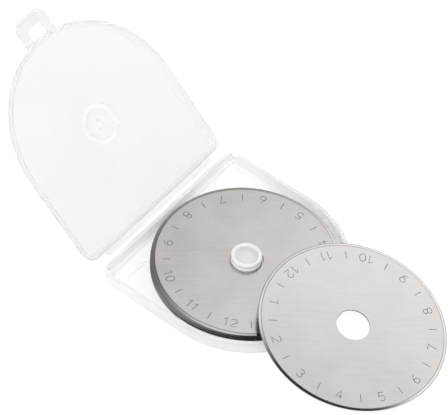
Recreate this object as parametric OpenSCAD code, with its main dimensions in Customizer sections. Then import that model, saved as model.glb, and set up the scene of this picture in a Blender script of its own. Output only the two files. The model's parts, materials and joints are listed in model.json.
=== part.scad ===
// Hinged clear case of round rotary cutter blades, open, with one blade taken out.
// Millimetres. Origin: on the centre post's axis, at the underside of the tray.
// +X runs from the hinge to the front catch, +Y along the hinge, +Z up.

/* [Blades] */
// Outer diameter of a blade
blade_d = 45; // [40:0.5:46]
// Diameter of the hole in a blade
hole_d = 8; // [7.9:0.05:9]
// Thickness of a blade
blade_t = 0.3; // [0.2:0.05:0.3]
// Width of the ground bevel at the cutting edge
bevel_w = 0.9; // [0.4:0.1:2]
// Height from one stored blade to the next
stack_pitch = 0.32; // [0.31:0.01:0.33]

/* [Case] */
// Radius of the rounded front, and half of the case's width
case_r = 25.2; // [24.5:0.1:27]
// Distance from the post's axis back to the hinge edge
back_x = 24; // [23.6:0.1:26]
// Radius of the two corners beside the hinge
corner_r = 3.4; // [2.5:0.1:5]
// Height of the tray from its underside to its rim
tray_h = 4.4; // [4.2:0.1:4.8]
// Thickness of the tray's floor
floor_t = 1; // [0.8:0.05:1.05]
// Thickness of the walls of the tray and the lid
wall_t = 1; // [0.8:0.1:1.2]
// Radius of the rounded outer edge under the tray and over the lid
edge_r = 1.4; // [0.6:0.1:1.8]

/* [Lid] */
// Height of the lid from its outer face to its rim
lid_h = 2.2; // [2.1:0.1:2.6]
// Thickness of the lid's flat face
lid_t = 0.8; // [0.6:0.1:0.8]
// Angle between the open lid and the table
lid_rise = 42; // [30:1:70]
// Outer diameter of the ring that covers the post's top
ring_d = 9.8; // [9.4:0.1:11]
// Height of the ring
ring_h = 1.2; // [0.6:0.1:1.25]

/* [Hinge] */
// Distance from the tray's hinge edge back to the fold line
fold_back = 1.1; // [1:0.05:1.3]
// Distance from the tray's rim down to the fold line
fold_drop = 0.7; // [0.6:0.05:0.8]
// Thickness of the flexible web
web_t = 0.2; // [0.15:0.01:0.22]
// Width of the flexible web along the hinge
web_w = 40; // [30:1:42]

/* [Post] */
// Diameter of the centre post
post_d = 7.5; // [7.3:0.05:7.55]
// Height of the post's top above the underside of the tray
post_top = 5.7; // [5:0.05:5.75]

/* [Latch] */
// Width of the latch loop
latch_w = 10; // [9:0.1:12]
// Distance from the lid's front edge to the end of the loop
latch_reach = 6; // [5:0.1:6]
// Width of the window that fits over the catch
window_w = 4.5; // [4:0.1:5]
// Depth of the window, from the lid's edge
window_l = 2.95; // [2.6:0.05:3]

/* [Loose blade] */
// Distance from the post's axis forward to the loose blade's centre
loose_x = 30.6; // [28:0.1:34]
// Sideways distance of the loose blade's centre
loose_y = 0.6; // [-3:0.1:3]
// Slope of the loose blade, which leans on the tray's front rim
loose_tilt = 9.5; // [9.5:0.1:12]

/* [Hidden] */
$fn = 96;

blade_r = blade_d / 2;
hole_r = hole_d / 2;
half_t = blade_t / 2;
post_r = post_d / 2;
rim_gap = 0.05;

// Joined shapes run into each other by this much, and cutting shapes run past by cut.
overlap = 0.5;
cut = 1;
smallest_corner = 0.4;

// The fold line of the hinge, and the turn from closed to open.
fold_x = -back_x - fold_back;
fold_z = tray_h - fold_drop;
open_turn = 180 - lid_rise;

// The lid as it sits when closed.
lid_z = tray_h + rim_gap;
lid_top = lid_z + lid_h;
ceiling_z = lid_top - lid_t;

// The latch loop as it sticks straight out of the closed lid.
latch_t = 0.7;
latch_up = 0.85;
latch_z = lid_z + latch_up;
latch_root = 0.8;
latch_fold_x = case_r + latch_root;
latch_gap = 0.1;
latch_end = case_r + latch_reach;
latch_chamfer = 1.8;
lip_t = 0.5;
lip_l = 1;
ear_overlap = 1.5;

// The catch on the tray's front wall.
catch_w = 3.9;
catch_reach = 1.4;
catch_h = 0.9;
catch_nose = catch_h / 3;
catch_top_reach = 0.2;
catch_play = 0.15;
catch_low = latch_z - (case_r + window_l - latch_fold_x) + catch_play;

// The rib in the corner of the tray.
rib_x = -18.7;
rib_y = -17.4;
rib_l = 7;
rib_t = 0.5;
rib_h = 1.1;

// The centre post: its rounded rim, its dished top and the hollow under it.
rim_r = 0.55;
dish_r = 5.2;
dish_depth = 0.75;
post_wall = 1.1;
post_roof = 2.2;

// The ring in the lid, and the lid's half of the web.
ring_wall = 0.8;
web_join = 0.75;
web_slit = 0.27;

// Each stored blade sits a little off the post's axis: along one direction across
// the case, and sideways to it.
play_dir = 33;
play_along = [-0.19, -0.12, -0.18, -0.06, -0.17, -0.19, -0.04, -0.13, 0.17];
play_side = [0.03, -0.08, 0.05, -0.1, 0.02, -0.05, 0.09, -0.03, 0];
first_gap = 0.02;

// The lowest edge of the loose blade is this far above the table.
table_gap = 0.03;
loose_z = blade_r * sin(loose_tilt) + table_gap;

function stored_z(i) = floor_t + first_gap + half_t + (i - 1) * stack_pitch;

// Turns what is drawn in the closed position into the open position.
module opened() {
    translate([fold_x, 0, fold_z])
        rotate([0, -open_turn, 0])
            translate([-fold_x, 0, -fold_z])
                children();
}

// Outline of the case, moved inwards by a distance.
module case_outline(inset) {
    r = case_r - inset;
    back = back_x - inset;
    corner = max(corner_r - inset, smallest_corner);
    intersection() {
        circle(r = r);
        translate([0, -r]) square([r, 2 * r]);
    }
    translate([-back + corner, -r]) square([back - corner, 2 * r]);
    translate([-back, -r + corner]) square([corner, 2 * (r - corner)]);
    for (side = [-1, 1]) translate([-back + corner, side * (r - corner)]) circle(r = corner);
}

// Sweeps a wall section round the case. The section's x is 0 at the outer face
// and negative inwards, and its y is the height.
module round_case() {
    rotate([0, 0, -90])
        rotate_extrude(angle = 180)
            translate([case_r, 0]) children();
    straight = back_x - corner_r;
    for (side = [-1, 1]) scale([1, side, 1]) mirrored_side(straight) children();
    translate([-back_x, case_r - corner_r, 0])
        rotate([90, 0, 0])
            linear_extrude(2 * (case_r - corner_r))
                mirror([1, 0, 0]) children();
}

// One straight side wall and the corner behind it.
module mirrored_side(straight) {
    translate([-straight, case_r, 0])
        rotate([90, 0, 90])
            linear_extrude(straight) children();
    translate([-straight, case_r - corner_r, 0])
        rotate([0, 0, 90])
            rotate_extrude(angle = 90)
                translate([corner_r, 0]) children();
}

// Section of a wall that stands on z = 0, with a rounded outer foot.
module wall_section(h) {
    difference() {
        translate([-wall_t, 0]) square([wall_t, h]);
        translate([-edge_r, 0]) difference() {
            translate([0, -cut]) square([edge_r + cut, edge_r + cut]);
            translate([0, edge_r]) circle(r = edge_r);
        }
    }
}

// A shallow open shell with a D outline that stands on z = 0.
module shell(h, plate_t) {
    linear_extrude(plate_t) case_outline(edge_r);
    round_case() wall_section(h);
    intersection() {
        linear_extrude(plate_t) case_outline(wall_t - overlap);
        round_case() foot_section(plate_t);
    }
}

// Section of the band where the plate meets the rounded foot.
module foot_section(h) {
    intersection() {
        translate([-edge_r - overlap, 0]) square([edge_r + overlap, h]);
        union() {
            translate([-edge_r, edge_r]) circle(r = edge_r);
            translate([-edge_r - overlap, 0]) square([overlap, h]);
        }
    }
}

// A round blade, flat about z = 0, sharpened from both faces.
module blade() {
    rotate_extrude() polygon([
        [hole_r, -half_t],
        [blade_r - bevel_w, -half_t],
        [blade_r, 0],
        [blade_r - bevel_w, half_t],
        [hole_r, half_t]
    ]);
}

module stored_blade(i) {
    color("silver")
        rotate([0, 0, play_dir])
            translate([play_along[i - 1], play_side[i - 1], stored_z(i)])
                blade();
}

module loose_blade() {
    color("gainsboro")
        translate([loose_x, loose_y, loose_z])
            rotate([0, loose_tilt, 0])
                blade();
}

module base_tray() {
    color("whitesmoke", 0.6) shell(tray_h, floor_t);
}

// A hollow post with a rounded rim and a dished top.
module centre_post() {
    color("white", 0.8) translate([0, 0, floor_t]) {
        h = post_top - floor_t;
        difference() {
            rotate_extrude() union() {
                square([post_r, h - rim_r]);
                square([post_r - rim_r, h]);
                translate([post_r - rim_r, h - rim_r]) circle(r = rim_r);
            }
            translate([0, 0, h - dish_depth + dish_r]) sphere(r = dish_r);
            translate([0, 0, -cut]) cylinder(r = post_r - post_wall, h = h - post_roof + cut);
        }
    }
}

// A wedge on the front wall that the loop snaps under.
module front_catch() {
    color("whitesmoke", 0.6) difference() {
        translate([0, catch_w / 2, 0]) rotate([90, 0, 0]) linear_extrude(catch_w) polygon([
            [case_r - overlap, catch_low],
            [case_r + catch_reach, catch_low],
            [case_r + catch_reach, catch_low + catch_nose],
            [case_r + catch_top_reach, catch_low + catch_h],
            [case_r - overlap, catch_low + catch_h]
        ]);
        cylinder(r = case_r, h = tray_h + cut);
    }
}

module corner_rib() {
    color("whitesmoke", 0.6)
        translate([rib_x - rib_t / 2, rib_y - rib_l / 2, floor_t])
            cube([rib_t, rib_l, rib_h]);
}

// Half of the hinge's web: a strip from the tray's wall to a round edge on the fold line.
module hinge_web_base() {
    color("white", 0.7) translate([0, web_w / 2, 0]) rotate([90, 0, 0]) linear_extrude(web_w) {
        translate([fold_x, fold_z - web_t / 2]) square([fold_back, web_t]);
        translate([fold_x, fold_z]) circle(d = web_t);
    }
}

// The other half of the web, from the lid's wall to just short of the fold line.
module hinge_web_lid() {
    join_z = lid_z + web_join;
    rise = atan2(join_z - fold_z, fold_back);
    reach = norm([join_z - fold_z, fold_back]);
    color("white", 0.7) opened() difference() {
        translate([fold_x, web_w / 2, fold_z])
            rotate([90, 0, 0])
                linear_extrude(web_w)
                    rotate(rise)
                        translate([web_slit, -web_t / 2])
                            square([reach - web_slit + overlap, web_t]);
        translate([-back_x, -web_w, 0]) cube([back_x, 2 * web_w, lid_top]);
    }
}

module lid_shell() {
    ear_l = latch_fold_x - latch_gap;
    ear_w = (latch_w - window_w) / 2;
    color("whitesmoke", 0.5) opened() {
        translate([0, 0, lid_top]) mirror([0, 0, 1]) shell(lid_h, lid_t);
        difference() {
            for (side = [-1, 1])
                translate([case_r - ear_overlap, side * (window_w + ear_w) / 2 - ear_w / 2, latch_z])
                    cube([ear_l - case_r + ear_overlap, ear_w, latch_t]);
            translate([0, 0, lid_z]) cylinder(r = case_r - wall_t / 2, h = lid_h);
        }
    }
}

module lid_boss_ring() {
    color("whitesmoke", 0.6) opened() translate([0, 0, ceiling_z - ring_h]) difference() {
        cylinder(d = ring_d, h = ring_h);
        translate([0, 0, -cut]) cylinder(d = ring_d - 2 * ring_wall, h = ring_h + 2 * cut);
    }
}

// A flexible loop whose window drops over the catch.
module latch_loop() {
    start = latch_fold_x + latch_gap;
    color("whitesmoke", 0.7) opened() difference() {
        translate([0, 0, latch_z]) {
            linear_extrude(latch_t) loop_outline(start, latch_end);
            linear_extrude(latch_t + lip_t) loop_outline(latch_end - lip_l, latch_end);
        }
        translate([0, -window_w / 2, latch_z - cut])
            cube([case_r + window_l, window_w, latch_t + lip_t + 2 * cut]);
    }
}

// The loop's outline between two distances, with its outer corners cut off.
module loop_outline(from, to) {
    intersection() {
        translate([from, -latch_w / 2]) square([to - from, latch_w]);
        polygon([
            [0, -latch_w / 2],
            [latch_end - latch_chamfer, -latch_w / 2],
            [latch_end, -latch_w / 2 + latch_chamfer],
            [latch_end, latch_w / 2 - latch_chamfer],
            [latch_end - latch_chamfer, latch_w / 2],
            [0, latch_w / 2]
        ]);
    }
}

base_tray();
centre_post();
front_catch();
corner_rib();
hinge_web_base();
lid_shell();
lid_boss_ring();
hinge_web_lid();
latch_loop();
stored_blade(1);  // blade_01
stored_blade(2);  // blade_02
stored_blade(3);  // blade_03
stored_blade(4);  // blade_04
stored_blade(5);  // blade_05
stored_blade(6);  // blade_06
stored_blade(7);  // blade_07
stored_blade(8);  // blade_08
stored_blade(9);  // blade_09
loose_blade();
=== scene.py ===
"""An opened clear case of round rotary cutter blades, with one blade leaning on its rim.

Meshes are drawn in mm and turned into metres by new_object. In the CAD frame Z is the post's
axis, the hinge is at -X and the front of the case, with its catch, at +X."""
import json
import math
import random

import bmesh
import bpy
import numpy as np
from mathutils import Matrix, Vector
from mathutils.geometry import delaunay_2d_cdt


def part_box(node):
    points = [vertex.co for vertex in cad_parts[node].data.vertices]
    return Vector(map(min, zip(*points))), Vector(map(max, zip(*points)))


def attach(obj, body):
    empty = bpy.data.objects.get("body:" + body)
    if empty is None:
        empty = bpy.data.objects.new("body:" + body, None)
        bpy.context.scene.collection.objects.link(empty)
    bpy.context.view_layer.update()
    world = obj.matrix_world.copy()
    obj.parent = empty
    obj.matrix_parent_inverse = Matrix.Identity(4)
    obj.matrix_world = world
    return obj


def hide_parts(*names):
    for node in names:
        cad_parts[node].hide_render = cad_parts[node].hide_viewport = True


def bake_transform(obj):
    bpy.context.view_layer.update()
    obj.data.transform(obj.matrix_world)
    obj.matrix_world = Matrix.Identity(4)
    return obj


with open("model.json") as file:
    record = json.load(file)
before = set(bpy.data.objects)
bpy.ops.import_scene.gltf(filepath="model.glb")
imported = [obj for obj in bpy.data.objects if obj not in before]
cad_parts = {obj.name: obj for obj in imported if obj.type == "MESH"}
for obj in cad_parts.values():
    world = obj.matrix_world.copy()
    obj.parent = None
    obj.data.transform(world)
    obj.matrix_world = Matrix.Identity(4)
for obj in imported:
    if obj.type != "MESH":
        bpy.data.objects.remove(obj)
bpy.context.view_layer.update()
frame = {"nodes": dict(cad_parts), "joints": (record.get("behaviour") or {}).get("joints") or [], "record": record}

MM = 0.001
scene = bpy.context.scene
random.seed(7)

# ------------------------------------------------------------------ the CAD frame
hinge = next(j for j in frame["joints"] if j["name"] == "lid_hinge")
FOLD = Vector(hinge["pos_m"]) / MM
OPEN_TURN = -hinge["range_deg"][0]
# OPENED takes the lid and the latch from their closed place to that of the rest pose.
OPENED = (
    Matrix.Translation(FOLD)
    @ Matrix.Rotation(math.radians(-OPEN_TURN), 4, "Y")
    @ Matrix.Translation(-FOLD)
)
CLOSED = OPENED.inverted()


def node_box(name, back=Matrix.Identity(4)):
    """Lowest and highest corner of a CAD node in mm, after it is moved by back."""
    pts = [back @ (v.co / MM) for v in frame["nodes"][name].data.vertices]
    return (
        Vector([min(p[i] for p in pts) for i in range(3)]),
        Vector([max(p[i] for p in pts) for i in range(3)]),
    )


tray_lo, tray_hi = node_box("base_tray")
lid_lo, lid_hi = node_box("lid_shell", CLOSED)
ring_lo, ring_hi = node_box("lid_boss_ring", CLOSED)
latch_lo, latch_hi = node_box("latch_loop", CLOSED)
post_lo, post_hi = node_box("centre_post")
catch_lo, catch_hi = node_box("front_catch")
rib_lo, rib_hi = node_box("corner_rib")
web_lo, web_hi = node_box("hinge_web_base")
blade_lo, blade_hi = node_box("blade_01")

# ------------------------------------------------------------------ sizes, in mm
# the case, from the CAD solids; CEILING is the inner side of the lid's plate when it is closed
CASE_R = tray_hi.y
BACK_X = -tray_lo.x
TRAY_H = tray_hi.z
FLOOR_T = post_lo.z
LID_TOP = lid_hi.z
LID_RIM = lid_lo.z
CEILING = ring_hi.z
LID_T = LID_TOP - CEILING
# the case, beyond what the CAD boxes say: its wall and the outline's two back corners
WALL_T = 1.0
CORNER_R = 3.4
MIN_CORNER_R = 0.4
# the rounds of a shell's section, and how far the section runs on into the plate beside them
EDGE_R = 1.4
RIM_ROUND = 0.3
INNER_ROUND = 0.45
OUTER_LAP, INNER_LAP = 0.5, 0.9
BAR_ROUND = 0.1
# a gap or an overlap that is too small to see
NUDGE = 0.02
# the ejector pins' marks: radius, depth, and the centres on the tray's floor and the lid's ceiling
PIN_R = 2.0
PIN_DEPTH = 0.05
TRAY_PINS = [(15.6, 12.5), (15.6, -12.5), (-17, 17), (-6, -20.5)]
LID_PINS = [(16.8, 2.9), (8.1, -16.4), (-14.5, 14.2), (8.5, 16.0)]
# the latch
WINDOW_W = 4.5
WINDOW_REACH = 2.95
LATCH_CHAMFER = 1.8
STRAP_T = 0.7
# the hinge's web: half its thickness, the fold's groove, the thicker roots and the rounded ends
WEB_HALF_T = 0.1
GROOVE_DEPTH, GROOVE_W = 0.035, 0.22
ROOT_GAIN, ROOT_W = 0.07, 0.3
WEB_END, WEB_END_THIN = 0.12, 0.35
WEB_LID_Z = LID_RIM + 0.75
# the blades
BLADE_R = (blade_hi.y - blade_lo.y) / 2
BLADE_T = blade_hi.z - blade_lo.z
HOLE_R = 4.0
HOLE_CHAMFER = 0.03
BEVEL_W = 0.78
BEVEL_ANGLE = math.radians(8)
HONED_W = 0.13
HONED_HALF_T = 0.003
LINE_W = 0.13
LINE_ANGLE = math.radians(13)
FACE_LAP = 0.12
ENGRAVED = 0.02
# how many steps the rounds are drawn with
FRONT_STEPS = 200
SIDE_STEPS = 8
CORNER_STEPS = 20
BACK_STEPS = 12
LATHE_STEPS = 96
SMALL_LATHE_STEPS = 40
RIM_STEPS = 240
HOLE_STEPS = 120
# how close two points of a plate's or a face's plan may be
PLATE_EPSILON = 1e-7
FACE_EPSILON = 1e-5
# points closer than this are one point, and a vector shorter than TINY has no direction
SAME_POINT = 1e-4
TINY = 1e-6
# edges between faces that meet at more than this are sharp, in degrees
SHARP, WEB_SHARP, BLADE_SHARP = 30, 40, 4


# ------------------------------------------------------------------ mesh helpers
def arc(cx, cy, rx, ry, a0, a1, steps):
    """Points along an ellipse from angle a0 to a1, in degrees."""
    angles = [math.radians(a0 + (a1 - a0) * i / steps) for i in range(steps + 1)]
    return [(cx + rx * math.cos(a), cy + ry * math.sin(a)) for a in angles]


def outline(inset):
    """The case's D outline moved inwards, counter-clockwise, as (x, y) points."""
    r, back = CASE_R - inset, BACK_X - inset
    c = max(CORNER_R - inset, MIN_CORNER_R)
    x, y = -back + c, r - c
    pts = arc(0, 0, r, r, -90, 90, FRONT_STEPS)
    pts += [(x * i / SIDE_STEPS, r) for i in range(1, SIDE_STEPS)]
    pts += arc(x, y, c, c, 90, 180, CORNER_STEPS)
    pts += [(-back, y * (1 - 2 * i / BACK_STEPS)) for i in range(1, BACK_STEPS)]
    pts += arc(x, -y, c, c, 180, 270, CORNER_STEPS)
    pts += [(x * (1 - i / SIDE_STEPS), -r) for i in range(1, SIDE_STEPS)]
    return pts


def fillet(points, radii, steps=8, pad=0.14):
    """Rounds the inner corners of an open polyline, with an extra point beside each round."""
    out = [Vector(points[0])]
    for i in range(1, len(points) - 1):
        p, a, b = Vector(points[i]), Vector(points[i - 1]), Vector(points[i + 1])
        u, v = (a - p).normalized(), (b - p).normalized()
        half = math.acos(max(-1, min(1, u.dot(v)))) / 2
        r = radii[i - 1]
        back = r / math.tan(half)
        centre = p + (u + v).normalized() * (r / math.sin(half))
        start, end = p + u * back - centre, p + v * back - centre
        a0 = math.atan2(start.y, start.x)
        turn = math.atan2(start.x * end.y - start.y * end.x, start.dot(end))
        if (p + u * (back + pad) - a).dot(u) < 0:
            out.append(p + u * (back + pad))
        for k in range(steps + 1):
            t = a0 + turn * k / steps
            out.append(centre + r * Vector((math.cos(t), math.sin(t))))
        if (p + v * (back + pad) - b).dot(v) < 0:
            out.append(p + v * (back + pad))
    out.append(Vector(points[-1]))
    return out


def strip(bm, rings):
    """Joins rings of vertices, each of the same length, with quads."""
    n = len(rings[0])
    for a, b in zip(rings, rings[1:]):
        for i in range(n):
            j = (i + 1) % n
            bm.faces.new((a[i], a[j], b[j], b[i]))


def d_rings(bm, section, base_z, up):
    """Rings of vertices round the case for a section of (inset, height) points."""
    return [
        [bm.verts.new((x, y, base_z + up * s.y)) for x, y in outline(s.x)]
        for s in section
    ]


def lathe_rings(bm, section, centre=(0, 0), n=LATHE_STEPS):
    """Rings of vertices round a vertical axis for a section of (radius, z) points."""
    cx, cy = centre
    turns = [2 * math.pi * i / n for i in range(n)]
    return [
        [bm.verts.new((cx + r * math.cos(a), cy + r * math.sin(a), z)) for a in turns]
        for r, z in section
    ]


def plate(bm, outer, holes=()):
    """Fills the flat region between one ring of vertices and the rings inside it."""
    verts, faces = list(outer), [list(range(len(outer)))]
    for h in holes:
        faces.append(list(range(len(verts), len(verts) + len(h))))
        verts += h
    for f in faces:
        area = sum(
            verts[a].co.x * verts[b].co.y - verts[b].co.x * verts[a].co.y
            for a, b in zip(f, f[1:] + f[:1])
        )
        if area < 0:
            f.reverse()
    flat = [Vector((v.co.x, v.co.y)) for v in verts]
    _, _, tris, orig, _, cover = delaunay_2d_cdt(flat, [], faces, 0, PLATE_EPSILON, True)
    for t, c in zip(tris, cover):
        if c == [0]:
            bm.faces.new([verts[orig[i][0]] for i in t])


def smooth_by_angle(me, angle):
    """Smooth shading, with sharp edges above an angle in degrees."""
    me.shade_smooth()
    me.set_sharp_from_angle(angle=math.radians(angle))


def new_object(name, bm, mats, angle=SHARP):
    """Turns a bmesh in mm into an object in metres."""
    bm.transform(Matrix.Scale(MM, 4))
    bmesh.ops.recalc_face_normals(bm, faces=bm.faces)
    me = bpy.data.meshes.new(name)
    bm.to_mesh(me)
    bm.free()
    for mat in mats:
        me.materials.append(mat)
    smooth_by_angle(me, angle)
    ob = bpy.data.objects.new(name, me)
    scene.collection.objects.link(ob)
    return ob


def unite(ob, others):
    """Joins other closed meshes to ob as one solid, and removes them."""
    for o in others:
        joining = ob.modifiers.new("join", "BOOLEAN")
        joining.operation, joining.solver, joining.object = "UNION", "EXACT", o
    graph = bpy.context.evaluated_depsgraph_get()
    me = bpy.data.meshes.new_from_object(ob.evaluated_get(graph))
    ob.modifiers.clear()
    old, ob.data = ob.data, me
    me.name = ob.name
    bpy.data.meshes.remove(old)
    for o in others:
        bpy.data.objects.remove(o)
    smooth_by_angle(me, SHARP)


def swing_open(ob):
    """Moves a mesh that was drawn closed to its place in the rest pose."""
    ob.data.transform(Matrix.Scale(MM, 4) @ OPENED @ Matrix.Scale(1 / MM, 4))


def mark(ob, name, amount):
    """Writes a number at each vertex, worked out from its place in mm, for the material."""
    layer = ob.data.attributes.new(name, "FLOAT", "POINT")
    for v, item in zip(ob.data.vertices, layer.data):
        item.value = amount(v.co / MM)


def smooth_step(value, lo, hi):
    """0 below lo, 1 above hi, and an eased rise between them."""
    t = max(0, min(1, (value - lo) / (hi - lo)))
    return t * t * (3 - 2 * t)


def rim_distance(p):
    """How far inside the case's D outline a point lies."""
    if p.x >= 0:
        return CASE_R - math.hypot(p.x, p.y)
    return min(BACK_X + p.x, CASE_R - abs(p.y))


def wall_part(p):
    """1 in the case's rim wall, 0 on its flat plate."""
    return 1 - smooth_step(rim_distance(p), WALL_T, EDGE_R + 0.6)


# ------------------------------------------------------------------ material helpers
# the range that most of a noise's values lie in
NOISE_LO, NOISE_HI = 0.3, 0.7
# moves the noises off the planes of their lattice, on which they vary less
NOISE_SHIFT = (0.3, 0.3, 0.5)
EVEN = (1, 1, 1)


def shader(name, **values):
    """A new material, its node tree and its Principled node with constant values set."""
    m = bpy.data.materials.new(name)
    m.use_nodes = True
    nt = m.node_tree
    p = nt.nodes["Principled BSDF"]
    for key, value in values.items():
        p.inputs[key.replace("_", " ")].default_value = value
    return m, nt, p


def wire(nt, p, **sockets):
    """Links sockets to the Principled node's inputs."""
    for key, socket in sockets.items():
        nt.links.new(socket, p.inputs[key.replace("_", " ")])


def add(nt, kind, inputs=None, **attributes):
    """A new node with attributes set, and inputs given as values or as sockets to link."""
    n = nt.nodes.new(kind)
    for key, value in attributes.items():
        setattr(n, key, value)
    for key, value in (inputs or {}).items():
        if isinstance(value, bpy.types.NodeSocket):
            nt.links.new(value, n.inputs[key])
        else:
            n.inputs[key].default_value = value
    return n


def noise(nt, vector, scale, detail, rough=0.5):
    inputs = {"Vector": vector, "Scale": scale, "Detail": detail, "Roughness": rough}
    return add(nt, "ShaderNodeTexNoise", inputs).outputs["Fac"]


def ramp(nt, value, lo, hi, to_lo, to_hi, kind="LINEAR"):
    """value from lo..hi mapped to to_lo..to_hi, clamped."""
    inputs = {
        "Value": value, "From Min": lo, "From Max": hi, "To Min": to_lo, "To Max": to_hi,
    }
    return add(nt, "ShaderNodeMapRange", inputs, interpolation_type=kind).outputs["Result"]


def mix(nt, fac, a, b):
    """The number a at a factor of 0 and b at 1."""
    return add(nt, "ShaderNodeMix", {0: fac, 2: a, 3: b}).outputs[0]


def tint(nt, fac, a, b):
    """The colour a at a factor of 0 and b at 1. A colour is a socket or three numbers."""
    a, b = (c if isinstance(c, bpy.types.NodeSocket) else (*c, 1) for c in (a, b))
    return add(nt, "ShaderNodeMix", {0: fac, 6: a, 7: b}, data_type="RGBA").outputs[2]


def bump(nt, height, strength, distance, **normal):
    """The normal of a relief whose full height is distance, in metres."""
    inputs = {"Height": height, "Strength": strength, "Distance": distance, **normal}
    return add(nt, "ShaderNodeBump", inputs).outputs[0]


def attribute(nt, name):
    return add(nt, "ShaderNodeAttribute", attribute_name=name).outputs["Fac"]


def stretched(nt, scale, turn=0):
    """Object coordinates turned about Z by turn degrees and scaled along each axis."""
    co = add(nt, "ShaderNodeTexCoord").outputs["Object"]
    if turn:
        turned = {"Vector": co, "Rotation": (0, 0, math.radians(-turn))}
        co = add(nt, "ShaderNodeMapping", turned).outputs[0]
    moved = {"Vector": co, "Location": NOISE_SHIFT, "Scale": scale}
    return add(nt, "ShaderNodeMapping", moved).outputs[0]


def grey(v):
    return (v, v, v)


# ------------------------------------------------------------------ clear plastic
PLASTIC_IOR = 1.46
# ranges of roughness
POLISHED = (0.035, 0.09)
HANDLED = (0.05, 0.12)
# how much a place veils what is behind it, on a plate and on the ring, and what a wall adds
TRAY_VEIL, TRAY_WALL_VEIL = 0.3, 0.5
LID_VEIL, LID_WALL_VEIL, RING_VEIL = 0.34, 0.15, 0.16


def clear_plastic(name, low, high, rough, alpha=1.0, clear=1.0, ripple=0.04, wall=None):
    """Moulded clear plastic: faint cloudiness, flow ripples and fine handling scratches.
    The colour runs from low to high, and the roughness over the range rough.
    wall gives the colour, clearness and roughness where the mesh is marked as a wall.
    An alpha of None is read from the mesh."""
    m, nt, p = shader(name, Transmission_Weight=clear, IOR=PLASTIC_IOR)
    if alpha is None:
        wire(nt, p, Alpha=attribute(nt, "veil"))
    else:
        p.inputs["Alpha"].default_value = alpha
    cloud = noise(nt, stretched(nt, EVEN), 90, 4)
    body = tint(nt, ramp(nt, cloud, NOISE_LO, NOISE_HI, 0, 1), low, high)
    scuff = noise(nt, stretched(nt, (900, 140, 500)), 1.0, 5, 0.62)
    dull = ramp(nt, scuff, 0.52, 0.75, *rough)
    if wall:
        wall_colour, wall_clear, wall_rough = wall
        side = attribute(nt, "wall")
        body = tint(nt, side, body, wall_colour)
        wire(nt, p, Transmission_Weight=ramp(nt, side, 0.0, 1.0, clear, wall_clear))
        dull = mix(nt, side, dull, wall_rough)
    flow = noise(nt, stretched(nt, (60, 140, 60)), 1.0, 2)
    waves = bump(nt, flow, ripple, 0.0004)
    wire(nt, p, Base_Color=body, Roughness=dull, Normal=bump(nt, scuff, 0.03, 0.0001, Normal=waves))
    return m


# The tray's rim wall is whiter, cloudier and veils more than its plate: painted light, for the brightness the
# clear wall shows by refraction.
CLEAR_TRAY = clear_plastic(
    "case_clear_tray", grey(0.78), grey(0.85), POLISHED, alpha=None, wall=(grey(1.0), 0.5, 0.45)
)
# The lid's rim wall veils more and is less clear than its plate: painted shade, for the grey lines the clear rim
# shows by refraction.
CLEAR_LID = clear_plastic(
    "case_clear_lid", grey(0.56), grey(0.62), POLISHED, alpha=None, wall=(grey(0.72), 0.8, 0.4)
)
CLEAR_LATCH = clear_plastic("case_clear_latch", grey(0.48), grey(0.56), HANDLED, alpha=0.38)
CLEAR_WEB = clear_plastic("web_clear", grey(0.95), grey(1.0), HANDLED, alpha=0.25, ripple=0.1)
CLEAR_POST = clear_plastic(
    "post_clear_plastic", grey(0.98), grey(1.0), HANDLED, clear=0.2, wall=(grey(0.97), 0.4, 0.08)
)

# ------------------------------------------------------------------ steel
# the brushing's direction across a blade, in degrees
BRUSH_TURN = 42


def face_steel():
    """Ground steel: fine straight brushing, soft smudges and small changes of shine."""
    m, nt, p = shader("blade_face_steel", Metallic=1.0)
    lines = noise(nt, stretched(nt, (90, 2600, 90), BRUSH_TURN), 1.0, 4, 0.6)
    smudge = noise(nt, stretched(nt, EVEN), 110, 3)
    # The brushing makes 0.3 of the change of colour and the smudges 0.7.
    shares = {
        0: ramp(nt, lines, NOISE_LO, NOISE_HI, 0, 0.3),
        1: ramp(nt, smudge, 0.35, 0.65, 0, 0.7),
    }
    fac = add(nt, "ShaderNodeMath", shares, operation="ADD").outputs[0]
    wire(
        nt, p,
        Base_Color=tint(nt, fac, (0.59, 0.568, 0.552), (0.69, 0.668, 0.652)),
        Roughness=ramp(nt, smudge, 0.3, 0.75, 0.2, 0.29),
    )
    hair = noise(nt, stretched(nt, (160, 9000, 160), BRUSH_TURN), 1.0, 3, 0.7)
    wire(nt, p, Normal=bump(nt, hair, 0.13, 0.00002))
    return m


def bevel_steel():
    """The sharpened edge: grinding lines run round the blade, and its steel is darker than the face's, which is
    painted shade.
    """
    m, nt, p = shader("blade_bevel_steel", Metallic=1.0)
    co = add(nt, "ShaderNodeTexCoord").outputs["Object"]
    flat = add(nt, "ShaderNodeVectorMath", {0: co, 1: (1, 1, 0)}, operation="MULTIPLY").outputs[0]
    radius = add(nt, "ShaderNodeVectorMath", {0: flat}, operation="LENGTH").outputs["Value"]
    spun = add(nt, "ShaderNodeCombineXYZ", {"X": radius}).outputs[0]
    rings = noise(nt, spun, 24000, 3, 0.7)
    patches = noise(nt, co, 260, 2)
    fac = ramp(nt, rings, NOISE_LO, NOISE_HI, 0, 1)
    wire(
        nt, p,
        # the bevel's colour is darker than the face's: painted shade
        Base_Color=tint(nt, fac, (0.5, 0.488, 0.478), (0.62, 0.606, 0.594)),
        Roughness=ramp(nt, patches, NOISE_LO, NOISE_HI, 0.08, 0.15),
        Normal=bump(nt, rings, 0.12, 0.00001),
    )
    return m


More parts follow.
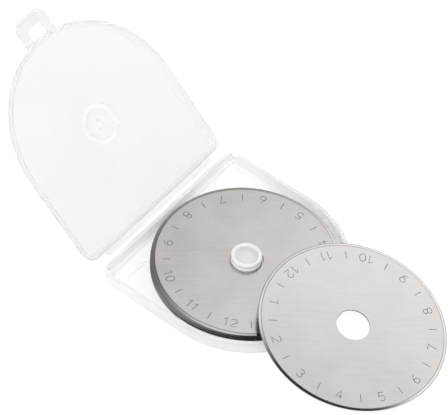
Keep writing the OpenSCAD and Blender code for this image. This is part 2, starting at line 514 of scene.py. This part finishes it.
def grained(name, low, high, scale, detail, rough=None, **values):
    """Metal with an even grain, which changes the colour and, if rough is given, the shine."""
    m, nt, p = shader(name, **values)
    grains = noise(nt, stretched(nt, EVEN), scale, detail)
    wire(nt, p, Base_Color=tint(nt, grains, low, high))
    if rough:
        wire(nt, p, Roughness=ramp(nt, grains, NOISE_LO, NOISE_HI, *rough))
    return m


FACE = face_steel()
BEVEL = bevel_steel()
# the bevel's lower side and the hole's wall, near black: painted shade for the dark gaps between the stacked
# blades
SHADED_UNDERSIDE = grained(
    "blade_bevel_painted_shade", (0.03, 0.029, 0.028), (0.08, 0.078, 0.075), 700, 4, (0.12, 0.3),
    Metallic=1.0,
)
# the narrow step where the bevel's grinding starts, in steel darker than the face: painted shade for the dark line
# along it
GRIND_LINE_SHADE = grained(
    "blade_grind_line_shade", (0.2, 0.195, 0.19), (0.32, 0.313, 0.307), 5000, 2,
    Metallic=1.0, Roughness=0.3,
)
# the etched marks, dull dark grey and a little uneven
MARKS = grained(
    "blade_etched_marks", (0.09, 0.087, 0.084), (0.2, 0.193, 0.187), 9000, 2, (0.45, 0.65),
    Metallic=0.6,
)


# ------------------------------------------------------------------ the tray
def shell_section(height, plate_t):
    """The wall of the tray or the lid and the edge of its plate, as (inset, height) points."""
    return fillet(
        [
            (EDGE_R + OUTER_LAP, 0), (0, 0), (0, height), (WALL_T, height),
            (WALL_T, plate_t), (WALL_T + INNER_LAP, plate_t),
        ],
        [EDGE_R, RIM_ROUND, RIM_ROUND, INNER_ROUND],
    )


def ejector_mark(bm, centre, z, up):
    """The shallow round witness of an ejector pin, pressed into a flat face."""
    section = [
        (PIN_R + 0.06, z), (PIN_R + 0.03, z + up * PIN_DEPTH * 0.25),
        (PIN_R, z + up * PIN_DEPTH), (PIN_R - 0.25, z + up * PIN_DEPTH),
    ]
    rings = lathe_rings(bm, section, centre, SMALL_LATHE_STEPS)
    strip(bm, rings)
    plate(bm, rings[-1])
    return rings[0]


def tray():
    bm = bmesh.new()
    rings = d_rings(bm, shell_section(TRAY_H, FLOOR_T), 0, 1)
    strip(bm, rings)
    pins = [ejector_mark(bm, c, FLOOR_T, -1) for c in TRAY_PINS]
    plate(bm, rings[0])
    plate(bm, rings[-1], pins)
    return new_object("tray_moulding", bm, [CLEAR_TRAY])


def bar(name, points, y_lo, y_hi, mat):
    """A closed outline in the XZ plane, drawn out along Y with small rounds."""
    bm = bmesh.new()
    lo = [bm.verts.new((x, y_lo, z)) for x, z in points]
    hi = [bm.verts.new((x, y_hi, z)) for x, z in points]
    n = len(points)
    for i in range(n):
        bm.faces.new((lo[i], lo[(i + 1) % n], hi[(i + 1) % n], hi[i]))
    bm.faces.new(lo[::-1])
    bm.faces.new(hi)
    bmesh.ops.recalc_face_normals(bm, faces=bm.faces)
    bmesh.ops.bevel(
        bm, geom=bm.edges[:], offset=BAR_ROUND, segments=3, profile=0.5, affect="EDGES"
    )
    return new_object(name, bm, [mat])


def box_outline(x_lo, x_hi, z_lo, z_hi):
    return [(x_lo, z_lo), (x_hi, z_lo), (x_hi, z_hi), (x_lo, z_hi)]


tray_piece = tray()
# The catch starts inside the front wall. Its underside is flat, for the loop to hook on.
catch = bar(
    "catch_wedge",
    [
        (CASE_R - 0.5, catch_lo.z),
        (catch_hi.x, catch_lo.z),
        (catch_hi.x, catch_lo.z + 0.3),
        (CASE_R + 0.2, catch_hi.z),
        (CASE_R - 0.5, catch_hi.z),
    ],
    catch_lo.y, catch_hi.y, CLEAR_TRAY,
)
rib = bar(
    "corner_rib_bar",
    box_outline(rib_lo.x, rib_hi.x, FLOOR_T - 0.3, rib_hi.z),
    rib_lo.y, rib_hi.y, CLEAR_TRAY,
)
unite(tray_piece, [catch, rib])
mark(tray_piece, "wall", wall_part)
# the wall's higher veil is part of the tray's painted light
mark(tray_piece, "veil", lambda p: TRAY_VEIL + TRAY_WALL_VEIL * wall_part(p))
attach(tray_piece, "tray")
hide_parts("base_tray", "front_catch", "corner_rib")


# ------------------------------------------------------------------ the centre post
def post():
    """A hollow button with a rounded rim, a groove below it and a dished top."""
    r, top = post_hi.x, post_hi.z
    foot = FLOOR_T + NUDGE
    bore, ceiling = r - 1.1, top - 1.45
    axis_r = 0.6
    side = fillet(
        [
            # the foot and the side
            (bore, foot), (r, foot), (r, top - 1.5),
            # the groove
            (r - 0.24, top - 1.38), (r - 0.24, top - 1.12), (r - 0.06, top - 0.9),
            # the rim
            (r, top), (r - 0.95, top),
            # the dish
            (r - 1.25, top - 0.5), (r - 2.1, top - 0.72), (axis_r, top - 0.75),
        ],
        [0.08, 0.1, 0.06, 0.06, 0.1, 0.3, 0.3, 0.15, 0.4],
        pad=0.05,
    )
    hollow = fillet([(bore, foot), (bore, ceiling), (axis_r, ceiling)], [0.35], 6, 0.05)
    bm = bmesh.new()
    rings = lathe_rings(bm, side)
    strip(bm, rings)
    inner = [rings[0]] + lathe_rings(bm, hollow[1:])
    strip(bm, inner)
    plate(bm, rings[-1])
    plate(bm, inner[-1])
    return new_object("centre_post_button", bm, [CLEAR_POST])


def dish_part(p):
    """1 in the dished top, 0 on the rim and the side."""
    inwards = smooth_step(post_hi.x - p.xy.length, 0.9, 1.3)
    return inwards * smooth_step(post_hi.z - p.z, 0.1, 0.5)


post_piece = post()
mark(post_piece, "wall", dish_part)
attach(post_piece, "tray")
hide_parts("centre_post")


# ------------------------------------------------------------------ the lid
def lid():
    """Drawn as it sits when closed, with its ring, ejector marks and gate dimple."""
    bm = bmesh.new()
    rings = d_rings(bm, shell_section(LID_TOP - LID_RIM, LID_T), LID_TOP, -1)
    strip(bm, rings)
    pins = [ejector_mark(bm, c, CEILING, 1) for c in LID_PINS]
    ring_out, ring_in, low = ring_hi.x, ring_hi.x - 0.8, ring_lo.z
    boss = fillet(
        [
            (ring_out + 0.5, CEILING), (ring_out, CEILING), (ring_out, low),
            (ring_in, low), (ring_in, CEILING), (ring_in - 0.5, CEILING),
        ],
        [0.15, 0.2, 0.2, 0.15],
        5, 0.06,
    )
    boss_rings = lathe_rings(bm, boss)
    strip(bm, boss_rings)
    plate(bm, boss_rings[-1])
    plate(bm, rings[-1], [boss_rings[0]] + pins)
    pit, nub = LID_TOP - 0.22, LID_TOP - 0.02
    gate = fillet(
        [(1.5, LID_TOP), (1.25, LID_TOP), (1.0, pit), (0.45, pit), (0.3, nub), (0.12, nub)],
        [0.1, 0.1, 0.06, 0.05],
        4, 0.02,
    )
    gate_rings = lathe_rings(bm, gate, n=SMALL_LATHE_STEPS)
    strip(bm, gate_rings)
    plate(bm, gate_rings[-1])
    plate(bm, rings[0], [gate_rings[0]])
    return new_object("lid_moulding", bm, [CLEAR_LID])


def lid_veil(p):
    """The lid's rim shows more than its flat plate, as painted shade along its outline, and its thin ring less."""
    if p.z < CEILING - NUDGE and p.xy.length < ring_hi.x + 0.1:
        return RING_VEIL
    return LID_VEIL + LID_WALL_VEIL * wall_part(p)


lid_piece = lid()
# The latch's two ears start inside the lid's front wall, one on each side of the window.
ear_outline = box_outline(CASE_R - 0.55, lid_hi.x, latch_lo.z, latch_lo.z + STRAP_T)
ear_spans = [(latch_lo.y, -WINDOW_W / 2), (WINDOW_W / 2, latch_hi.y)]
ears = [bar("ear", ear_outline, y_lo, y_hi, CLEAR_LID) for y_lo, y_hi in ear_spans]
unite(lid_piece, ears)
mark(lid_piece, "wall", wall_part)
mark(lid_piece, "veil", lid_veil)
swing_open(lid_piece)
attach(lid_piece, "lid")
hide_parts("lid_shell", "lid_boss_ring")


# ------------------------------------------------------------------ the latch loop
def rounded_polygon(points, radii):
    """A closed outline with its corners rounded."""
    out = []
    n = len(points)
    for i in range(n):
        corner = [points[i - 1], points[i], points[(i + 1) % n]]
        out += fillet(corner, [radii[i]], 6, 0)[1:-1]
    return [p for i, p in enumerate(out) if (p - out[i - 1]).length > SAME_POINT]


def grown(points, d):
    """A counter-clockwise outline moved outwards by d (inwards when negative)."""
    out = []
    n = len(points)
    for i in range(n):
        a = (points[i] - points[i - 1]).normalized()
        b = (points[(i + 1) % n] - points[i]).normalized()
        na, nb = Vector((a.y, -a.x)), Vector((b.y, -b.x))
        m = (na + nb).normalized()
        out.append(points[i] + m * d / max(m.dot(na), 0.3))
    return out


def slab(name, points, z_lo, z_hi, edge, mat):
    """A flat slab with an outline in the XY plane and rounded upper and lower edges."""
    steps = 5
    lower = []
    for k in range(steps + 1):
        a = math.pi / 2 * k / steps
        lower.append((-edge * (1 - math.sin(a)), z_lo + edge * (1 - math.cos(a))))
    upper = [(d, z_hi + z_lo - z) for d, z in lower[::-1]]
    flat_d = -edge - 0.06
    bm = bmesh.new()
    rings = [
        [bm.verts.new((p.x, p.y, z)) for p in grown(points, d)]
        for d, z in [(flat_d, z_lo), *lower, *upper, (flat_d, z_hi)]
    ]
    strip(bm, rings)
    plate(bm, rings[0])
    plate(bm, rings[-1])
    return new_object(name, bm, [mat])


def latch():
    """The loop round its window, with a raised lip along its far bar."""
    x0, x1, y1 = latch_lo.x, latch_hi.x, latch_hi.y
    window_x, w, c = CASE_R + WINDOW_REACH, WINDOW_W / 2, LATCH_CHAMFER
    loop = rounded_polygon(
        [
            (x0, -y1), (x1 - c, -y1), (x1, -y1 + c), (x1, y1 - c), (x1 - c, y1),
            (x0, y1), (x0, w), (window_x, w), (window_x, -w), (x0, -w),
        ],
        [0.32, 0.8, 0.8, 0.8, 0.8, 0.32, 0.32, 0.4, 0.4, 0.32],
    )
    z = latch_lo.z
    body = slab("latch_loop_moulding", loop, z, z + STRAP_T, 0.2, CLEAR_LATCH)
    lip = rounded_polygon(
        [
            (x1 - 1, -y1 + c - 0.95), (x1 - 0.05, -y1 + c + 0.02),
            (x1 - 0.05, y1 - c - 0.02), (x1 - 1, y1 - c + 0.95),
        ],
        [0.34, 0.5, 0.5, 0.34],
    )
    ridge = slab("lip", lip, z + STRAP_T / 2, latch_hi.z, 0.24, CLEAR_LATCH)
    unite(body, [ridge])
    swing_open(body)
    return body


latch_piece = latch()
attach(latch_piece, "latch")
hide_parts("latch_loop")


# ------------------------------------------------------------------ the living hinge
def bell(distance, width):
    """1 at no distance, falling away smoothly over the width."""
    return math.exp(-((distance / width) ** 2))


def web():
    """One thin strip from the tray's wall over the fold line to the lid's wall."""
    root = Vector((-BACK_X + NUDGE, 0, FOLD.z))
    fold = Vector((FOLD.x, 0, FOLD.z))
    far = OPENED @ Vector((-BACK_X + NUDGE, 0, WEB_LID_Z))
    line = []
    for a, b, count in ((root, fold, 8), (fold, far, 12)):
        line += [a + (b - a) * k / count for k in range(count)]
    line.append(far)
    total = (fold - root).length + (far - fold).length
    upper, lower = [], []
    for i, p in enumerate(line):
        t = (line[min(i + 1, len(line) - 1)] - line[max(i - 1, 0)]).normalized()
        normal = Vector((-t.z, 0, t.x))
        if normal.z < 0:
            normal.negate()
        s = (p - root).length
        groove = bell((p - fold).length, GROOVE_W)
        roots = bell(s, ROOT_W) + bell(total - s, ROOT_W)
        half_t = WEB_HALF_T - GROOVE_DEPTH * groove + ROOT_GAIN * roots
        upper.append(p + normal * half_t)
        lower.append(p - normal * half_t)
    section = upper + lower[::-1]
    middle = [(a + b) / 2 for a, b in zip(section, section[::-1])]
    half_w = (web_hi.y - web_lo.y) / 2
    rows = 40
    bm = bmesh.new()
    cols = []
    for k in range(rows + 1):
        y = half_w * (2 * k / rows - 1)
        ease = 1 - WEB_END_THIN * max(0, (abs(y) - half_w + WEB_END) / WEB_END) ** 2
        cols.append([
            bm.verts.new(Vector((0, y, 0)) + m + (p - m) * ease)
            for p, m in zip(section, middle)
        ])
    strip(bm, cols)
    bm.faces.new(cols[0][::-1])
    bm.faces.new(cols[-1])
    return new_object("hinge_web_strip", bm, [CLEAR_WEB], angle=WEB_SHARP)


web_piece = web()
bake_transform(web_piece)
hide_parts("hinge_web_base", "hinge_web_lid")

# ------------------------------------------------------------------ the blades' scale
# strokes of a plain engraving face, on a box 1 wide and GLYPH_H high
GLYPH_H = 1.6
GLYPHS = {
    "0": [arc(0.5, 0.8, 0.48, 0.8, 90, 450, 20)],
    "1": [[(0.18, 1.22), (0.62, 1.6), (0.62, 0)]],
    "2": [arc(0.5, 1.12, 0.46, 0.48, 165, -35, 10) + [(0.04, 0), (0.98, 0)]],
    "3": [arc(0.47, 1.19, 0.42, 0.41, 150, -80, 10), arc(0.47, 0.41, 0.47, 0.41, 82, -150, 12)],
    "4": [[(0.72, 0), (0.72, 1.6), (0.02, 0.45), (1.0, 0.45)]],
    "5": [[(0.9, 1.6), (0.2, 1.6), (0.1, 0.86)] + arc(0.47, 0.5, 0.48, 0.5, 128, -145, 12)],
    "6": [arc(0.5, 0.47, 0.46, 0.47, 150, 510, 18), [(0.1, 0.72), (0.3, 1.22), (0.72, 1.6)]],
    "7": [[(0.03, 1.6), (0.97, 1.6), (0.38, 0)]],
    "8": [arc(0.5, 1.21, 0.38, 0.39, -90, 270, 16), arc(0.5, 0.42, 0.46, 0.42, 90, 450, 18)],
    "9": [arc(0.5, 1.13, 0.46, 0.47, -30, 330, 18), [(0.9, 0.88), (0.7, 0.38), (0.28, 0)]],
}
# where the marks' middles lie, and the sizes of ticks, figures and strokes, in mm
SCALE_R = 19.15
TICK_H = 1.9
FIGURE_W, FIGURE_H = 1.55, 2.15
STROKE = 0.15
# from one figure of a number to the next, and closer in the number 11
FIGURE_STEP, ONES_STEP = 1.9, 1.6


def sides_of(points, width):
    """The two long sides of a stroke along a polyline."""
    pts = [Vector(p) for p in points]
    left, right = [], []
    for i, p in enumerate(pts):
        a = p - pts[max(i - 1, 0)]
        b = pts[min(i + 1, len(pts) - 1)] - p
        a = a.normalized() if a.length > 0 else b.normalized()
        b = b.normalized() if b.length > 0 else a
        na, nb = Vector((-a.y, a.x)), Vector((-b.y, b.x))
        m = na + nb
        m = m.normalized() if m.length > TINY else na
        m = m * (width / 2) / max(m.dot(na), 0.6)
        left.append(p + m)
        right.append(p - m)
    return left, right


def spoke(degrees):
    a = math.radians(degrees)
    return Vector((math.cos(a), math.sin(a)))


def scale_strokes():
    """The engraved scale: numbers 1 to 12 with a tick between each two, as polylines."""
    lines = []
    k = FIGURE_H / GLYPH_H
    for number in range(1, 13):
        digits = str(number)
        step = FIGURE_STEP if digits != "11" else ONES_STEP
        start = -((len(digits) - 1) * step + FIGURE_W) / 2
        upright = Matrix.Rotation(math.radians(30 * number) + math.pi / 2, 2)
        centre = SCALE_R * spoke(30 * number)
        for i, digit in enumerate(digits):
            for line in GLYPHS[digit]:
                lines.append([
                    centre + upright @ Vector((
                        start + i * step + x * FIGURE_W, (y - GLYPH_H / 2) * k
                    ))
                    for x, y in line
                ])
        tick = spoke(30 * number + 15)
        lines.append([tick * (SCALE_R - TICK_H / 2), tick * (SCALE_R + TICK_H / 2)])
    return lines


# ------------------------------------------------------------------ the blades
BLADE_MATERIALS = [FACE, BEVEL, MARKS, SHADED_UNDERSIDE, GRIND_LINE_SHADE]
ON_FACE, ON_BEVEL, ON_MARKS, ON_SHADED_UNDERSIDE, ON_LINE = range(len(BLADE_MATERIALS))


def stroke_plan(verts, edges):
    """Adds the outlines of the scale's strokes to a plan of vertices and edges, and returns
    the middle line of each straight bit."""
    segments = []
    for line in scale_strokes():
        left, right = sides_of(line, STROKE)
        base, n = len(verts), len(left)
        verts += left + right
        edges += [(base + i, base + i + 1) for i in range(n - 1)]
        edges += [(base + n + i, base + n + i + 1) for i in range(n - 1)]
        segments += [(line[i], line[i + 1]) for i in range(n - 1)]
        if (line[0] - line[-1]).length > TINY:
            for i, away in ((0, 1), (n - 1, n - 2)):
                out = (line[i] - line[away]).normalized() * STROKE * 0.35
                tip = len(verts)
                verts += [
                    left[i] * 0.75 + right[i] * 0.25 + out,
                    left[i] * 0.25 + right[i] * 0.75 + out,
                ]
                edges += [(base + i, tip), (tip, tip + 1), (tip + 1, base + n + i)]
    return segments


def engraved_face(bm, inner, outer, z, depth):
    """The blade's upper face between two rings, with the scale sunk into it."""
    verts = [v.co.xy.copy() for v in outer] + [v.co.xy.copy() for v in inner]
    n_out, n_in = len(outer), len(inner)
    edges = [(i, (i + 1) % n_out) for i in range(n_out)]
    edges += [(n_out + i, n_out + (i + 1) % n_in) for i in range(n_in)]
    segments = stroke_plan(verts, edges)
    pts, _, tris, orig, _, _ = delaunay_2d_cdt(verts, edges, [], 0, FACE_EPSILON, True)
    mid = np.array([sum((pts[i] for i in t), Vector((0, 0))) / 3 for t in tris])
    sunk_tri = np.zeros(len(tris), bool)
    for p, q in segments:
        p, d = np.array(p), np.array(q - p)
        along = np.clip(((mid - p) @ d) / (d @ d), 0, 1)
        sunk_tri |= np.linalg.norm(mid - p - along[:, None] * d, axis=1) < STROKE * 0.5
    open_tri = np.linalg.norm(mid, axis=1) > inner[0].co.xy.length
    rim = dict(enumerate(outer + inner))
    top, low = {}, {}

    def vert(i, sunk):
        known = [rim[o] for o in orig[i] if o in rim]
        if known:
            return known[0]
        store = low if sunk else top
        if i not in store:
            store[i] = bm.verts.new((pts[i].x, pts[i].y, z - (depth if sunk else 0)))
        return store[i]

    sides = {}
    for t, sunk, is_open in zip(tris, sunk_tri, open_tri):
        if not is_open:
            continue
        f = bm.faces.new([vert(i, sunk) for i in t])
        f.material_index = ON_MARKS if sunk else ON_FACE
        for a, b in zip(t, t[1:] + t[:1]):
            sides.setdefault(frozenset((a, b)), []).append(bool(sunk))
    for edge, kinds in sides.items():
        if len(kinds) == 2 and kinds[0] != kinds[1]:
            a, b = edge
            f = bm.faces.new([vert(a, False), vert(b, False), vert(b, True), vert(a, True)])
            f.material_index = ON_MARKS


def blade_mesh():
    """One blade, flat about z = 0: engraved upper face, ground bevel on both sides."""
    half = BLADE_T / 2
    flat_r = BLADE_R - BEVEL_W
    line_r, line_z = flat_r + LINE_W, half - LINE_W * math.tan(LINE_ANGLE)
    honed_r = BLADE_R - HONED_W
    honed_z = line_z - (honed_r - line_r) * math.tan(BEVEL_ANGLE)
    upper_edge = [
        (flat_r - FACE_LAP, half), (flat_r, half), (line_r, line_z), (honed_r, honed_z),
        (BLADE_R, HONED_HALF_T),
    ]
    lower_hole = [
        (HOLE_R + FACE_LAP, -half), (HOLE_R + HOLE_CHAMFER, -half), (HOLE_R, -half + HOLE_CHAMFER)
    ]
    bm = bmesh.new()
    outer = lathe_rings(bm, upper_edge + [(r, -z) for r, z in upper_edge[::-1]], n=RIM_STEPS)
    strip(bm, outer)
    inner = lathe_rings(bm, lower_hole + [(r, -z) for r, z in lower_hole[::-1]], n=HOLE_STEPS)
    strip(bm, inner)
    for f in bm.faces:
        mid = f.calc_center_median()
        r = mid.xy.length
        if flat_r < r < line_r:
            # the grind line's darker steel is painted shade
            f.material_index = ON_LINE
        elif r > flat_r:
            # the bevel's lower side gets near-black steel: painted shade
            f.material_index = ON_BEVEL if mid.z > -0.001 else ON_SHADED_UNDERSIDE
        elif r < HOLE_R + 0.02:
            # the hole's wall gets the same near-black painted shade
            f.material_index = ON_SHADED_UNDERSIDE
    engraved_face(bm, inner[-1], outer[0], half, ENGRAVED)
    plate(bm, outer[-1], [inner[0]])
    ob = new_object("blade_shape", bm, BLADE_MATERIALS, angle=BLADE_SHARP)
    me = ob.data
    bpy.data.objects.remove(ob)
    return me


BLADE = blade_mesh()
STORED = 9
# how far the scale is turned on the two blades that show it, in degrees
TOP_SCALE_TURN = 295.1
LOOSE_SCALE_TURN = 176.2


def place_blade(node, turn, tilt):
    """A copy of the blade at its CAD node, with its scale turned and the disc tilted."""
    lo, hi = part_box(node)
    me = BLADE.copy()
    me.name = node + "_disc"
    me.transform(Matrix.Rotation(math.radians(turn), 4, "Z"))
    ob = bpy.data.objects.new(node + "_disc", me)
    scene.collection.objects.link(ob)
    ob.matrix_world = Matrix.Translation((lo + hi) / 2) @ Matrix.Rotation(tilt, 4, "Y")
    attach(ob, node)
    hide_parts(node)


bore = next(m for m in frame["record"]["mounts"] if m["name"] == "axle_bore")
axis = Vector(bore["axis"])
loose_tilt = math.atan2(axis.x, axis.z)
for i in range(1, STORED + 1):
    place_blade(f"blade_{i:02d}", TOP_SCALE_TURN if i == STORED else random.uniform(0, 360), 0)
place_blade("loose_blade", LOOSE_SCALE_TURN, loose_tilt)

# ------------------------------------------------------------------ the floor, in metres
FLOOR_Z = -0.00006
FLOOR_R = 2.5
FLOOR_GREY = 0.35
FLOOR_GLOW = 0.77
floor_bm = bmesh.new()
bmesh.ops.create_circle(floor_bm, cap_ends=True, radius=FLOOR_R, segments=LATHE_STEPS)
floor_me = bpy.data.meshes.new("studio_floor")
floor_bm.to_mesh(floor_me)
floor_bm.free()
floor = bpy.data.objects.new("studio_floor", floor_me)
floor.location.z = FLOOR_Z
scene.collection.objects.link(floor)
white, _, _ = shader(
    "studio_white",
    Roughness=0.9,
    Specular_IOR_Level=0.1,
    Base_Color=(*grey(FLOOR_GREY), 1),
    Emission_Color=(*grey(1), 1),
    Emission_Strength=FLOOR_GLOW,
)
floor_me.materials.append(white)

# ------------------------------------------------------------------ the light
# the sky's light at the horizon and straight above
AMBIENT_LOW, AMBIENT_TOP = 0.62, 0.42
# azimuth, elevation, half width, half height, soft edge (degrees), light
SOFTBOXES = [
    (84, 58, 23, 21, 9, 0.95),
    (85, 35, 14, 6, 5, 0.6),
    (-25, 52, 34, 26, 9, 1.15),
    (-110, 50, 34, 26, 9, 1.15),
]
# dark cards: azimuth, elevation, outer and inner radius (degrees), what is left in the middle
FLAGS = [(65, 74, 20, 10, 0.03), (168, 48, 27, 12, 0.55), (-57, 4, 40, 18, 0.25)]
world = bpy.data.worlds.new("studio")
scene.world = world
world.use_nodes = True
wn = world.node_tree
look = add(wn, "ShaderNodeTexCoord").outputs["Generated"]


def direction(azimuth, elevation):
    a, e = math.radians(azimuth), math.radians(elevation)
    return Vector((math.cos(e) * math.cos(a), math.cos(e) * math.sin(a), math.sin(e)))


def calc(operation, a, b):
    return add(wn, "ShaderNodeMath", {0: a, 1: b}, operation=operation).outputs[0]


def facing(v):
    """The cosine of the angle between the ray and v."""
    dot = add(wn, "ShaderNodeVectorMath", {0: look, 1: v}, operation="DOT_PRODUCT")
    return dot.outputs["Value"]


def fade(value, lo, hi, to_lo, to_hi):
    return ramp(wn, value, lo, hi, to_lo, to_hi, "SMOOTHSTEP")


def softbox(azimuth, elevation, half_w, half_h, soft, light):
    """A soft-edged rectangle of light in the sky, with its half sizes in degrees."""
    c = direction(azimuth, elevation)
    r = c.cross(Vector((0, 0, 1))).normalized()
    u = r.cross(c)
    parts = [fade(facing(c), 0.0, 0.2, 0, 1)]
    for across, half in ((r, half_w), (u, half_h)):
        size, s = math.sin(math.radians(half)), math.sin(math.radians(soft))
        off = calc("ABSOLUTE", facing(across), 0)
        parts.append(fade(off, size - s, size + s, 1, 0))
    front, wide, high = parts
    return calc("MULTIPLY", calc("MULTIPLY", front, wide), calc("MULTIPLY", high, light))


sky = fade(facing((0, 0, 1)), -0.1, 1.0, AMBIENT_LOW, AMBIENT_TOP)
for box in SOFTBOXES:
    sky = calc("ADD", sky, softbox(*box))
for azimuth, elevation, outer, inner, left in FLAGS:
    near = facing(direction(azimuth, elevation))
    start, full = math.cos(math.radians(outer)), math.cos(math.radians(inner))
    sky = calc("MULTIPLY", sky, fade(near, start, full, 1, left))
# The camera itself sees plain white.
seen = add(wn, "ShaderNodeLightPath").outputs["Is Camera Ray"]
background = wn.nodes["Background"]
background.inputs["Color"].default_value = (1, 1, 1, 1)
wn.links.new(mix(wn, seen, sky, 1.0), background.inputs["Strength"])

# ------------------------------------------------------------------ the camera
# It looks at AIM (metres) from an azimuth and elevation, rolled, with angles in degrees.
AIM = Vector((-0.0155, 0.0121, 0))
VIEW_AZIMUTH, VIEW_ELEVATION, VIEW_ROLL = -57.17, 49.58, 5.96
VIEW_DISTANCE = 0.47617
camera = bpy.data.cameras.new("camera")
camera.sensor_width = 36
camera.lens = 156.7
camera.clip_start, camera.clip_end = 0.01, 20
cam = bpy.data.objects.new("camera", camera)
scene.collection.objects.link(cam)
scene.camera = cam
out = direction(VIEW_AZIMUTH, VIEW_ELEVATION)
level = (-out).cross(Vector((0, 0, 1))).normalized()
plumb = level.cross(-out)
roll = math.radians(VIEW_ROLL)
right = math.cos(roll) * level + math.sin(roll) * plumb
up = -math.sin(roll) * level + math.cos(roll) * plumb
turned = Matrix((right, up, out)).transposed().to_4x4()
cam.matrix_world = Matrix.Translation(AIM + out * VIEW_DISTANCE) @ turned

scene.view_settings.view_transform = "Standard"
scene.view_settings.look = "None"
